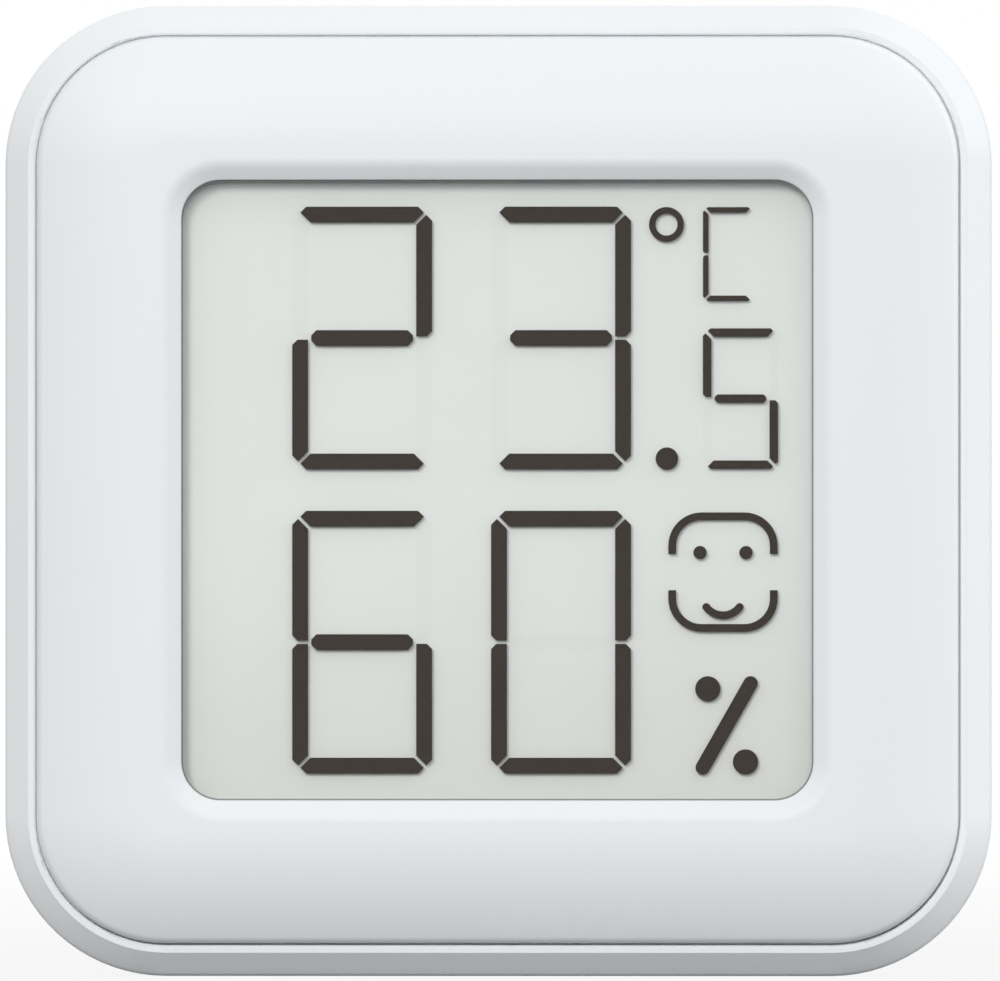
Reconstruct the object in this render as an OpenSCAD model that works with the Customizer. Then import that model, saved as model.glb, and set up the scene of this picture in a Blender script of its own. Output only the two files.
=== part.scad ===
// Small square thermometer and hygrometer for a desk or a wall.
// Each piece is drawn lying on its back: x to the right, y up the face and z towards the viewer,
// with the middle of the case at zero. The upright() module then stands it on its lower edge.

/* [Case] */
// Width over the rear shell
case_w = 43; // [42:0.1:46]
// Height over the rear shell
case_h = 42.35; // [42:0.05:46]
// Depth from the back to the front of the face
case_d = 12.5; // [12:0.1:14]
// Corner radius of the rear shell, seen from the front
case_r = 7; // [6.5:0.1:8]
// Wall thickness of both shells
wall = 1.3; // [1.1:0.05:1.4]
// Rounding of the rear shell's back edge
back_r = 1.5; // [0.8:0.1:1.8]
// Width of the rear shell's rim round the front cover
rim_w = 1.45; // [1.3:0.05:1.6]
// Width of the sloping part of the rim
rim_slope_w = 1.03; // [0.8:0.01:1.05]
// Depth of the sloping part of the rim
rim_slope_d = 1; // [0.8:0.1:2]
// Rounding between the rim's slope and the side
rim_side_r = 0.5; // [0.2:0.05:0.8]
// Rounding of the rim's inner lip
lip_r = 0.15; // [0.05:0.01:0.2]
// Width of the shadow gap between the rim and the front cover
seam_gap = 0.08; // [0.06:0.01:0.16]
// Depth of the shadow gap
seam_d = 0.6; // [0.4:0.05:0.7]
// Width of the ledge that carries the front cover
ledge_w = 0.8; // [0.6:0.05:0.9]
// Height of the ledge that carries the front cover
ledge_h = 1.2; // [0.9:0.1:1.4]

/* [Front cover] */
// Height of the front cover above the rim
cover_d = 1.6; // [1.5:0.05:1.9]
// Width of the border over which the face falls away
fall_w = 4.8; // [4:0.1:5]
// Tilt of the face where it meets its outer edge, in degrees
fall_tilt = 30; // [24:1:34]
// Rounding of the outer edge of the face
edge_r = 0.5; // [0.3:0.05:0.6]
// Thickness of the face over the display
bezel_t = 0.65; // [0.6:0.05:1]
// Width of the face on each side of the display window
border_w = 6.3; // [6:0.05:6.8]
// Height of the face above and below the display window
border_h = 6.225; // [6:0.025:6.8]
// Corner radius of the display window
window_r = 1.7; // [1.2:0.1:2.2]
// Width of the slope round the window
slope_w = 0.95; // [0.7:0.05:1.2]
// Steepness of the slope round the window, in degrees
slope_tilt = 32; // [26:1:36]
// Rounding of the slope's outer edge
slope_r = 0.9; // [0.4:0.05:1]
// Rounding of the window's inner edge
window_edge_r = 0.08; // [0.04:0.01:0.1]

/* [Snap hooks] */
// Distance of each snap hook from the middle of the case
hook_x = 9; // [7:0.1:10]
// Width of a snap hook
hook_w = 5; // [4:0.1:6]
// Thickness of a snap hook
hook_t = 1; // [0.8:0.05:1.1]
// How far a snap hook reaches under the ledge
hook_grip = 0.4; // [0.3:0.05:0.5]
// Height of a snap hook's nose
hook_nose = 0.8; // [0.6:0.05:1]
// Gap between a snap hook and the rear shell
hook_gap = 0.15; // [0.1:0.01:0.2]

/* [Display] */
// Width of display glass hidden behind the face on each side
glass_margin = 1; // [0.9:0.05:1.1]
// Height of the contact ledge along the bottom of the front glass
contact_ledge = 2.2; // [1.9:0.1:2.4]
// Thickness of each display glass
glass_t = 0.4; // [0.4:0.05:0.6]
// Gap between the two glasses
glass_gap = 0.06; // [0.06:0.01:0.1]
// Thickness of a display segment
segment_t = 0.05; // [0.03:0.01:0.05]
// Width of the seal line between the two glasses
seal_w = 0.7; // [0.5:0.05:0.8]
// Distance of the seal line from the edge of the rear glass
seal_in = 0.15; // [0.05:0.05:0.25]
// Thickness of the front polarising film
film_t = 0.15; // [0.12:0.01:0.25]
// Thickness of the reflecting film
reflector_t = 0.25; // [0.15:0.01:0.3]
// Thickness of the dust gasket
gasket_t = 0.1; // [0.08:0.01:0.25]
// Width of the dust gasket
gasket_w = 0.6; // [0.4:0.05:0.8]
// How far the dust gasket shows inside the window
gasket_show = 0.07; // [0.03:0.01:0.12]
// Clearance round the display glass
glass_clear = 0.15; // [0.1:0.01:0.2]

/* [Display segments] */
// Width of the display window that the segments are laid out for
layout_w = 27.5; // [26:0.1:29]
// Height of the display window that the segments are laid out for
layout_h = 27; // [26:0.1:29]
// Width of a large digit
digit_w = 6.09; // [5.6:0.01:6.4]
// Height of a large digit
digit_h = 11.44; // [10.8:0.01:11.8]
// Stroke width of a large digit
digit_t = 0.69; // [0.5:0.01:0.8]
// Distance between the two large digits of a row
digit_pitch = 8.66; // [8:0.01:9]
// Middle of the first large digit, from the middle of the window
digit_x = -5.9; // [-6:0.01:-5.6]
// Distance of each row of digits from the middle of the window
row_y = 6.62; // [6.4:0.01:6.8]
// Gap between neighbouring segments
segment_gap = 0.14; // [0.08:0.01:0.2]
// Cut of a figure's outer corners, as a share of its stroke width
corner_cut = 0.88; // [0.5:0.01:1]
// Cut of a segment's corners in the middle of a figure, as a share of its stroke width
end_cut = 0.33; // [0.2:0.01:0.45]
// Place of the degree ring
degree_at = [7.35, 11.56]; // [-13:0.01:13]
// Outer radius of the degree ring
degree_r = 0.76; // [0.5:0.01:0.9]
// Stroke width of the degree ring
degree_t = 0.28; // [0.15:0.01:0.3]
// Place of the unit letter
unit_at = [10.03, 10.27]; // [-13:0.01:13]
// Size of the unit letter
unit_size = [2.18, 4.09]; // [1:0.01:5]
// Stroke width of the unit letter
unit_t = 0.24; // [0.15:0.01:0.3]
// Place of the tenths digit
tenth_at = [10.57, 3.98]; // [-13:0.01:13]
// Size of the tenths digit
tenth_size = [3.27, 6.12]; // [2:0.01:7]
// Stroke width of the tenths digit
tenth_t = 0.37; // [0.25:0.01:0.45]
// Place of the decimal point
point_at = [7.37, 1.37]; // [-13:0.01:13]
// Radius of the decimal point
point_r = 0.49; // [0.3:0.01:0.6]
// Place of the comfort icon
comfort_at = [9.81, -3.57]; // [-13:0.01:13]
// Size of the comfort icon's outline
comfort_size = [4.76, 5.2]; // [3:0.01:6]
// Corner radius of the comfort icon's outline
comfort_r = 1.45; // [1:0.05:2]
// Stroke width of the comfort icon
comfort_t = 0.34; // [0.2:0.01:0.4]
// Height of the open part at the sides of the comfort icon
comfort_open = 1.57; // [1:0.01:2]
// Place of the comfort icon's right eye, from the icon's middle
eye_at = [1, 0.85]; // [0:0.01:2]
// Radius of the comfort icon's eyes
eye_r = 0.29; // [0.2:0.01:0.4]
// Radius of the mouth line
mouth_r = 0.91; // [0.7:0.01:1.1]
// Height of the mouth's lowest point, from the icon's middle
mouth_y = -1.88; // [-2:0.01:-1.6]
// Half the angle that the mouth line spans, in degrees
mouth_half = 53; // [40:1:70]
// Place of the percent sign
percent_at = [9.97, -10.24]; // [-13:0.01:13]
// Place of the percent sign's lower dot, from the sign's middle
percent_dot_at = [0.82, -1.59]; // [-2:0.01:2]
// Radius of the percent sign's dots
percent_dot_r = 0.55; // [0.4:0.01:0.6]
// Length of the percent sign's bar between the middles of its round ends
percent_len = 4.21; // [3.5:0.01:4.6]
// Width of the percent sign's bar
percent_t = 0.63; // [0.4:0.01:0.7]
// Slant of the percent sign's bar, in degrees
percent_tilt = 60.4; // [50:0.1:70]

/* [Circuit board] */
// Thickness of the circuit board
board_t = 1; // [0.8:0.1:1.2]
// Corner radius of the circuit board
board_r = 2.5; // [1.5:0.1:3]
// Gap between the circuit board's side and the front cover
board_gap = 0.6; // [0.4:0.05:0.7]
// Gap between the circuit board's upper or lower edge and the snap hooks
board_end_gap = 0.425; // [0.3:0.025:0.8]
// Space between the reflecting film and the circuit board
board_space = 0.84; // [0.7:0.02:1]
// Distance of each screw above or below the middle of the case
screw_y = 9; // [8:0.1:9.4]
// Radius of a screw's shank
screw_r = 0.75; // [0.6:0.05:0.8]
// Length of a screw's shank
screw_len = 2.7; // [2.4:0.1:2.8]
// Radius of a screw's head
screw_head_r = 1.4; // [1.2:0.05:1.5]
// Height of a screw's head
screw_head_h = 0.9; // [0.7:0.05:1.1]
// Room beyond a screw's end in its boss
pilot_room = 0.5; // [0.3:0.05:0.6]
// Radial clearance of a screw in its boss
screw_clear = 0.04; // [0.02:0.01:0.06]
// Radial clearance of a screw in the circuit board
screw_board_clear = 0.2; // [0.1:0.05:0.25]
// Radius of a screw boss
boss_r = 1.6; // [1.4:0.05:1.7]
// Distance of the elastomer connector's ends from the sides of the display glass
connector_in = 1.75; // [0.75:0.25:3.75]
// Width of the elastomer connector
connector_w = 1.7; // [1.4:0.05:1.9]
// Distance of the foam strip's ends from the sides of the display glass
foam_side = 2.75; // [1.25:0.25:5.75]
// Width of the foam strip
foam_w = 2; // [1.5:0.1:3]
// Distance of the foam strip from the display's upper edge
foam_in = 0.5; // [0.3:0.1:1]
// Radius of the controller's epoxy cap
blob_r = 3.6; // [3:0.1:4]
// Height of the controller's epoxy cap
blob_h = 1.2; // [0.8:0.05:1.3]
// Distance of the controller's middle below the circuit board's upper edge
blob_in = 4.8; // [4.4:0.1:5.4]
// Radius of the crystal's can
crystal_r = 0.75; // [0.7:0.05:1]
// Length of the crystal's can
crystal_len = 5; // [4:0.1:5.5]
// How far the crystal's leads stand out of its can
crystal_lead = 1; // [0.6:0.1:1.2]
// Gap between the crystal's leads and the switch
crystal_gap = 0.85; // [0.5:0.05:1.5]
// Distance of the crystal's axis below the circuit board's upper edge
crystal_in = 1.6; // [1.2:0.1:2]
// Size of the humidity sensor's plate
humidity_size = [6, 5, 0.7]; // [0.5:0.1:7]
// Distances of the humidity sensor's middle from the circuit board's side and upper edge
humidity_in = [4.2, 3.1]; // [2.8:0.1:5]
// Height of the humidity sensor above the circuit board
humidity_lift = 0.8; // [0.5:0.1:1.2]
// Distance between the humidity sensor's leads
lead_pitch = 2.5; // [1.5:0.1:4]
// Radius of a component lead
lead_r = 0.22; // [0.15:0.01:0.3]
// Radius of the thermistor's bead
bead_r = 1; // [0.8:0.05:1.1]
// Gap between the thermistor and the humidity sensor
bead_gap = 2; // [0.5:0.1:2.4]
// Distance of the thermistor's middle below the circuit board's upper edge
bead_in = 2; // [1.4:0.1:2.6]
// Height of the thermistor's middle above the circuit board
bead_lift = 1.5; // [1.3:0.1:1.8]
// Size of a chip resistor
resistor_size = [1.6, 0.8, 0.5]; // [0.3:0.1:2]
// Number of chip resistors
resistor_n = 6; // [2:1:7]
// Size of a chip capacitor
capacitor_size = [1.6, 0.8, 0.8]; // [0.3:0.1:2]
// Number of chip capacitors
capacitor_n = 4; // [2:1:7]
// Distance of the chips from the circuit board's side
chip_in = 4.6; // [4.4:0.1:5.4]
// Distance of the lowest chip from the circuit board's lower edge
chip_low = 4.4; // [3.4:0.1:5.4]
// Distance from chip to chip
chip_pitch = 2.2; // [1.6:0.1:2.4]

/* [Unit button] */
// Distances of the unit button's middle from the circuit board's side and upper edge
button_in = [4, 3.4]; // [3.2:0.1:6]
// Radius of the unit button's cap
button_r = 2.5; // [2:0.05:2.7]
// Clearance round the unit button's cap
button_clear = 0.1; // [0.06:0.01:0.1]
// Rounding of the unit button's cap
button_edge_r = 0.4; // [0.1:0.05:0.5]
// How far the unit button lies below the back
button_sink = 0.25; // [0.1:0.05:0.4]
// Radius of the unit button's flange
button_flange_r = 3.3; // [3:0.05:3.4]
// Thickness of the unit button's flange
button_flange_t = 0.8; // [0.6:0.05:1]
// Radius of the unit button's stem
button_stem_r = 1.2; // [1:0.05:1.4]
// Travel of the unit button
button_travel = 0.3; // [0.2:0.05:0.35]
// Side length of the switch under the unit button
switch_w = 4.5; // [4:0.1:4.6]
// Height of the switch under the unit button
switch_h = 1.6; // [1.4:0.1:1.8]
// Radius of the switch's plunger
plunger_r = 0.85; // [0.7:0.05:1]
// How far the plunger stands out of the switch
plunger_out = 0.5; // [0.4:0.05:0.6]
// How far the plunger reaches into the switch
plunger_in = 0.6; // [0.5:0.05:0.7]
// Radial clearance of the plunger in the switch
plunger_clear = 0.05; // [0.03:0.01:0.08]

/* [Battery] */
// Radius of the coin cell
cell_r = 10; // [9.9:0.05:10.05]
// Thickness of the coin cell
cell_t = 3.2; // [3:0.05:3.25]
// Sheet thickness of the coin cell
cell_sheet = 0.25; // [0.2:0.01:0.3]
// Wall of the coin cell's gasket
cell_seal = 0.5; // [0.3:0.05:0.6]
// How far the negative cap stands out of the coin cell
cell_step = 0.25; // [0.15:0.05:0.35]
// Radial clearance of the coin cell in its well
cell_clear = 0.3; // [0.2:0.05:0.35]
// Gap between the coin cell and the door
cell_gap = 0.05; // [0.03:0.01:0.1]
// Height of the battery door's middle above the middle of the case
door_y = -2.1; // [-2.3:0.05:-1.9]
// Thickness of the battery door's disc
door_t = 1.1; // [1:0.05:1.2]
// How far the battery door's disc covers the ledge that it closes on
door_lap = 1.75; // [1.6:0.05:1.8]
// Radial clearance of the battery door
door_clear = 0.15; // [0.1:0.01:0.2]
// Rounding of the battery door's edge
door_edge_r = 0.25; // [0.1:0.05:0.4]
// How far the battery door lies below the back
door_sink = 0.1; // [0.05:0.05:0.2]
// Thickness of the ledge that the battery door closes on
door_ledge = 0.9; // [0.8:0.05:1]
// Wall of the battery door's neck
door_neck = 1.7; // [1.2:0.1:2]
// Thickness of a bayonet lug
lug_t = 0.9; // [0.7:0.05:1]
// How far a bayonet lug stands out
lug_out = 1; // [0.8:0.05:1.1]
// Width of a bayonet lug, in degrees
lug_span = 24; // [18:1:26]
// Number of bayonet lugs
lug_n = 3; // [2:1:3]
// Clearance above and below a bayonet lug
lug_clear = 0.05; // [0.03:0.01:0.08]
// Turn from closed to open, in degrees
door_turn = 40; // [36:1:42]
// Length of the coin slot
slot_len = 15; // [10:0.5:18]
// Width of the coin slot
slot_w = 1.8; // [1.4:0.1:2.2]
// Depth of the coin slot
slot_d = 0.9; // [0.6:0.05:1]
// Thickness of the battery contacts
contact_t = 0.2; // [0.15:0.01:0.25]
// Width of the battery contacts
contact_w = 4.5; // [3.5:0.1:5]
// Length of the positive contact's foot
contact_foot = 2.1; // [1.5:0.1:2.5]
// Gap between the battery contacts and the coin cell
contact_gap = 0.03; // [0.02:0.01:0.05]

/* [Stand] */
// Height of the stand's hinge above the middle of the case
hinge_y = 2; // [1:0.1:2.5]
// Depth of the stand's hinge below the back
hinge_d = 1.3; // [1.25:0.05:1.5]
// Radius of the stand's hinge pins
pin_r = 0.7; // [0.6:0.05:0.75]
// Length of the stand's hinge pins
pin_len = 1.1; // [0.8:0.05:1.2]
// Radial clearance of the hinge pins
pin_clear = 0.05; // [0.03:0.01:0.08]
// Distance from the hinge to the stand's foot
stand_len = 20.9; // [20:0.1:21]
// Width of each arm of the stand
arm_w = 3; // [2.6:0.05:3.2]
// Thickness of the stand
stand_t = 2; // [1.8:0.05:2.1]
// Height of the stand's cross bar
bar_h = 3.5; // [3:0.1:3.6]
// Rounding of the stand's lower corners
stand_r = 2.4; // [1:0.1:2.6]
// Rounding of the inner corners between the arms and the bar
stand_inner_r = 1.2; // [0.6:0.1:1.6]
// Rounding along the stand's foot
foot_r = 0.6; // [0.2:0.05:0.8]
// How far the stand lies below the back
stand_sink = 0.1; // [0.05:0.05:0.2]
// Clearance round the stand
stand_clear = 0.2; // [0.15:0.01:0.25]
// Opening angle of the stand, in degrees
stand_open = 45; // [40:1:50]
// How far the stand's heel reaches beyond the hinge
heel_len = 1.4; // [1.2:0.05:1.5]
// Width of the finger notch under the stand
notch_w = 10; // [8:0.5:14]
// Height of the finger notch under the stand
notch_h = 1.4; // [1:0.1:1.6]
// Depth of the finger notch under the stand
notch_d = 1.2; // [0.8:0.1:1.6]

/* [Wall hole and vents] */
// Radius of the wall hole's entry
entry_r = 2.5; // [2.2:0.05:2.6]
// Width of the wall hole's slot
hang_slot_w = 2.5; // [2:0.05:2.6]
// Height of the wall hole's entry above the middle of the case
entry_y = 13.5; // [13.3:0.05:13.7]
// Distance from the entry to the end of the slot
hang_len = 3.2; // [2.8:0.05:3.4]
// Room for a screw head behind the wall hole
head_room = 2.6; // [2:0.1:2.8]
// Margin of the screw head's room round the wall hole
head_margin = 0.3; // [0.2:0.05:0.35]
// Number of vent slots
vent_n = 5; // [3:1:5]
// Width of a vent slot
vent_w = 1.1; // [0.8:0.05:1.3]
// Length of a vent slot
vent_len = 6; // [4:0.1:7]
// Distance from vent slot to vent slot
vent_pitch = 2.1; // [1.9:0.05:2.2]
// Diameter of the door's moulded marks
mark_d = 0.9; // [0.5:0.05:1]
// Depth of the door's moulded marks
mark_depth = 0.25; // [0.1:0.05:0.3]

/* [Hidden] */
$fn = 64;
over = 1;

// Levels of the case, from the back to the front
front_z = case_d / 2;
back_z = -case_d / 2;
seam_z = front_z - cover_d;
seat_z = seam_z - seam_d;
ledge_z = seat_z - ledge_h;

// Outline of the front cover, and the arcs of its face
cover_w = case_w - 2 * rim_w;
cover_h = case_h - 2 * rim_w;
cover_r = case_r - rim_w;
fall_r = fall_w / sin(fall_tilt);
edge_rise = sqrt(pow(fall_r - edge_r, 2) - pow(fall_w - edge_r, 2));
edge_turn = atan2(fall_w - edge_r, edge_rise);
wall_drop = fall_r - sqrt(pow(fall_r, 2) - pow(fall_w - wall, 2));
ceiling_z = front_z - wall_drop - wall;
window_w = cover_w - 2 * border_w;
window_h = cover_h - 2 * border_h;
slope_d = (slope_w - slope_r * tan(slope_tilt / 2)) * tan(slope_tilt);

// Layers of the display, from the front to the back
bezel_z = front_z - bezel_t;
film_z = bezel_z - gasket_t;
glass_z = film_z - film_t;
cell_front_z = glass_z - glass_t;
cell_back_z = cell_front_z - glass_gap;
rear_glass_z = cell_back_z - glass_t;
reflector_z = rear_glass_z - reflector_t;
glass_w = window_w + 2 * glass_margin;
glass_top = window_h / 2 + glass_margin;
rear_glass_h = 2 * glass_top;
front_glass_h = rear_glass_h + contact_ledge;
front_glass_y = -contact_ledge / 2;
gasket_reach = gasket_w - gasket_show;
film_margin = (gasket_reach + glass_margin) / 2;
layout_scale = min(window_w / layout_w, window_h / layout_h);

// Circuit board, its screws and what it carries
board_z = reflector_z - board_space;
board_back_z = board_z - board_t;
board_w = cover_w - 2 * wall - 2 * board_gap;
board_h = cover_h - 2 * (ledge_w + hook_gap + hook_t + board_end_gap);
screw_x = glass_w / 2 + 2 * glass_clear + boss_r;
pilot_end_z = board_back_z + screw_len + pilot_room;
boss_top_z = bezel_z + bezel_t / 4;
humidity_at = [humidity_in[0] - board_w / 2, board_h / 2 - humidity_in[1]];
button_at = [board_w / 2 - button_in[0], board_h / 2 - button_in[1]];
bead_x = humidity_at[0] + humidity_size[0] / 2 + bead_gap + bead_r;
crystal_x = button_at[0] - switch_w / 2 - crystal_gap - crystal_lead - crystal_len / 2;
chip_x = board_w / 2 - chip_in;

// Battery door, cell and well
neck_r = cell_r + cell_clear;
door_hole_r = neck_r + door_clear;
door_r = door_hole_r + door_lap;
door_recess_r = door_r + door_clear;
door_seat_z = back_z + door_sink + door_t + lug_clear;
door_ledge_z = door_seat_z + door_ledge;
lug_z = door_ledge_z + lug_clear;
neck_z = lug_z + lug_t;
lug_r = neck_r + lug_out;
groove_r = lug_r + 2 * door_clear;
well_r = groove_r + wall;
well_bore_z = neck_z + 2 * lug_clear;
cell_z = neck_z + cell_gap;
cell_top_z = cell_z + cell_t;
well_top_z = cell_top_z - cell_step;
lug_start = 90 - lug_span / 2;
lug_play = 2;

// Stand and its pocket
hinge_z = back_z + hinge_d;
stand_back = hinge_d - stand_sink;
stand_front = stand_t - stand_back;
arm_in_x = door_recess_r + wall + stand_clear;
arm_out_x = arm_in_x + arm_w;
pocket_in_x = arm_in_x - stand_clear;
pocket_out_x = arm_out_x + stand_clear;
foot_y = hinge_y - stand_len;
pocket_end = sqrt(pow(heel_len, 2) + pow(stand_back, 2)) + stand_clear;
pocket_floor_z = hinge_z + stand_front + stand_clear;
heel_floor_z = hinge_z + stand_front * cos(stand_open) + pin_clear;
heel_floor_y = hinge_y + stand_clear + stand_front * (1 - cos(stand_open)) / tan(stand_open);
pocket_top_z = pocket_floor_z + wall;

// Unit button and its switch
button_hole_r = button_r + button_clear;
button_end_z = back_z + wall + button_clear / 2;
switch_z = board_back_z - switch_h;
plunger_z = switch_z - plunger_out;

// Wall hole
hang_end_y = entry_y + hang_len;
room_w = 2 * (entry_r + head_margin);
room_low_y = entry_y - entry_r - head_margin;
room_high_y = hang_end_y + entry_r + head_margin;
room_z = back_z + wall + head_room;
room_wall = wall - head_margin;

// The directions from one corner of an outline to the corners before and after it
function sides(points, k) =
    let (
        n = len(points),
        before = points[(k + n - 1) % n] - points[k],
        after = points[(k + 1) % n] - points[k]
    )
    [before / norm(before), after / norm(after)];

function half_angle(s) = acos(s[0] * s[1]) / 2;

// The two points where a rounding meets the sides of a corner
function round_ends(points, k, r) =
    let (s = sides(points, k), reach = r / tan(half_angle(s)))
    [points[k] + reach * s[0], points[k] + reach * s[1]];

function round_middle(points, k, r) =
    let (s = sides(points, k), inward = s[0] + s[1])
    points[k] + inward / norm(inward) * r / sin(half_angle(s));

// The range of a size that lies about a middle
function about(middle, size) = [middle - size / 2, middle + size / 2];

// Stands a piece up on the lower edge of the case, with its face towards the front
module upright() {
    translate([0, 0, case_h / 2]) rotate([90, 0, 0]) children();
}

module rounded(w, h, r) {
    square([w - 2 * r, h], center = true);
    square([w, h - 2 * r], center = true);
    for (x = [-1, 1], y = [-1, 1]) {
        translate([x * (w / 2 - r), y * (h / 2 - r)]) circle(r);
    }
}

module obround(w, h) {
    square([w, h - w], center = true);
    for (y = [-1, 1]) {
        translate([0, y * (h - w) / 2]) circle(d = w);
    }
}

// An outline whose corners are rounded by the radii given beside its points.
// A radius of 0 keeps a corner sharp, and a hollow corner takes a negative radius.
module eased(points, radii) {
    corners = [0:len(points) - 1];
    difference() {
        union() {
            polygon([for (k = corners)
                each radii[k] == 0 ? [points[k]] : round_ends(points, k, abs(radii[k]))]);
            for (k = corners) {
                if (radii[k] > 0) translate(round_middle(points, k, radii[k])) circle(radii[k]);
            }
        }
        for (k = corners) {
            if (radii[k] < 0) translate(round_middle(points, k, -radii[k])) circle(-radii[k]);
        }
    }
}

module slab(w, h, r, low, high) {
    translate([0, 0, low]) linear_extrude(high - low) rounded(w, h, r);
}

module block(x, y, z) {
    translate([x[0], y[0], z[0]]) cube([x[1] - x[0], y[1] - y[0], z[1] - z[0]]);
}

module disc(r, low, high) {
    translate([0, 0, low]) cylinder(r = r, h = high - low);
}

// Sweeps a profile round a rounded rectangle. The profile's x runs out from the corner arcs' middles.
module swept(w, h, r) {
    across = w / 2 - r;
    up = h / 2 - r;
    for (k = [0:3]) {
        side = k % 2 == 0 ? across : up;
        half = k % 2 == 0 ? up : across;
        rotate(90 * k) translate([side, half, 0]) {
            rotate([90, 0, 0]) linear_extrude(2 * half) children();
            rotate_extrude(angle = 90) children();
        }
    }
}

// A swept profile whose middle is filled between two levels
module swept_solid(w, h, r, low, high) {
    swept(w, h, r) children();
    block([r - w / 2, w / 2 - r], [r - h / 2, h / 2 - r], [low, high]);
}

// A ring sector about the z axis, with its middle on the given angle
module sector(inner, outer, middle, span, low, high) {
    rotate(middle - span / 2) rotate_extrude(angle = span) translate([inner, low])
        square([outer - inner, high - low]);
}

module case_outside() {
    swept_solid(case_w, case_h, case_r, back_z, seam_z) eased([
        [0, back_z], [case_r, back_z], [case_r, seam_z - rim_slope_d],
        [case_r - rim_slope_w, seam_z], [0, seam_z]
    ], [0, back_r, rim_side_r, 0, 0]);
}

module case_inside() {
    nest_r = cover_r + seam_gap;
    far_r = nest_r + 2 * lip_r;
    grow = 2 * (seam_gap + 2 * lip_r);
    swept_solid(cover_w + grow, cover_h + grow, far_r, seat_z, seam_z + over) eased([
        [0, seat_z], [nest_r, seat_z], [nest_r, seam_z], [far_r, seam_z],
        [far_r, seam_z + over], [0, seam_z + over]
    ], [0, 0, -lip_r, 0, 0, 0]);
    slab(cover_w - 2 * ledge_w, cover_h - 2 * ledge_w, cover_r - ledge_w, ledge_z - over, seat_z + over);
    slab(case_w - 2 * wall, case_h - 2 * wall, case_r - wall, back_z + wall, ledge_z);
}

// The stand seen from the back, grown all round, with its open end cut off at a height above the hinge
module stand_plan(grow, end) {
    tall = 2 * stand_len;
    translate([0, hinge_y]) intersection() {
        difference() {
            translate([0, tall / 2 - stand_len])
                rounded(2 * (arm_out_x + grow), tall + 2 * grow, stand_r + grow);
            translate([0, tall / 2 - stand_len + bar_h])
                rounded(2 * (arm_in_x - grow), tall - 2 * grow, stand_inner_r);
        }
        translate([-arm_out_x - grow - over, -stand_len - grow - over])
            square([2 * (arm_out_x + grow + over), stand_len + end + grow + over]);
    }
}

module stand_pocket() {
    difference() {
        translate([0, 0, back_z - over]) linear_extrude(pocket_floor_z - back_z + over)
            stand_plan(stand_clear, pocket_end);
        for (x = [-1, 1]) {
            block(about(x * (pocket_in_x + pocket_out_x) / 2, 2 * arm_w),
                [heel_floor_y, hinge_y + pocket_end + over], [heel_floor_z, pocket_floor_z + over]);
        }
    }
    translate([-pocket_out_x - pin_len - pin_clear, hinge_y, hinge_z]) rotate([0, 90, 0])
        cylinder(r = pin_r + pin_clear, h = 2 * (pocket_out_x + pin_len + pin_clear));
    block(about(0, notch_w), [foot_y - stand_clear - notch_h, foot_y], [back_z - over, back_z + notch_d]);
}

module door_opening() {
    translate([0, door_y, 0]) {
        disc(door_recess_r, back_z - over, door_seat_z);
        disc(door_hole_r, back_z - over, well_bore_z + over);
        disc(neck_r, well_bore_z, well_top_z + over);
        difference() {
            disc(groove_r, door_ledge_z, well_bore_z);
            for (k = [0:lug_n - 1]) {
                middle = lug_start + k * 360 / lug_n;
                reach = lug_span + 2 * lug_play;
                sector(cell_r, groove_r + over, middle + reach / 2 + lug_play, 2 * lug_play,
                    door_ledge_z - over, well_bore_z + over);
                sector(cell_r, groove_r + over, middle - door_turn - reach / 2 - lug_play, 2 * lug_play,
                    door_ledge_z - over, well_bore_z + over);
            }
        }
        for (k = [0:lug_n - 1]) {
            middle = lug_start + k * 360 / lug_n - door_turn;
            sector(cell_r, lug_r + door_clear, middle, lug_span + lug_play,
                back_z, door_ledge_z + lug_clear);
        }
        block(about(0, contact_w + 2 * cell_clear), [-neck_r - 2 * cell_clear, -cell_r / 2],
            [well_bore_z, well_top_z + over]);
        for (turn = [0, -door_turn]) {
            rotate(lug_start + turn) translate([door_recess_r + mark_d, 0, back_z - over])
                cylinder(d = mark_d, h = over + mark_depth);
        }
    }
}

module wall_hole() {
    translate([0, entry_y, 0]) disc(entry_r, back_z - over, back_z + wall + over);
    translate([0, hang_end_y, 0]) disc(hang_slot_w / 2, back_z - over, back_z + wall + over);
    block(about(0, hang_slot_w), [entry_y, hang_end_y], [back_z - over, back_z + wall + over]);
    block(about(0, room_w), [room_low_y, room_high_y], [back_z + wall, room_z]);
}

module vents() {
    for (k = [0:vent_n - 1]) {
        x = humidity_at[0] + (k - (vent_n - 1) / 2) * vent_pitch;
        translate([x, humidity_at[1], back_z - over]) linear_extrude(wall + 2 * over)
            obround(vent_w, vent_len);
    }
}

module rear_shell() {
    floor_z = back_z + wall / 2;
    color("whitesmoke") upright() difference() {
        union() {
            difference() {
                case_outside();
                case_inside();
            }
            intersection() {
                slab(case_w - wall, case_h - wall, case_r - wall / 2, floor_z, pocket_top_z);
                translate([0, 0, floor_z]) linear_extrude(pocket_top_z - back_z)
                    stand_plan(stand_clear + wall, pocket_end + wall);
            }
            translate([0, door_y, 0]) disc(well_r, floor_z, well_top_z);
            intersection() {
                slab(case_w - wall, case_h - wall, case_r - wall / 2, floor_z, room_z + room_wall);
                block(about(0, room_w + 2 * room_wall), [room_low_y - room_wall, room_high_y + room_wall],
                    [floor_z, room_z + room_wall]);
            }
        }
        stand_pocket();
        door_opening();
        wall_hole();
        vents();
        translate([button_at[0], button_at[1], 0]) disc(button_hole_r, back_z - over, back_z + wall + over);
    }
}

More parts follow.
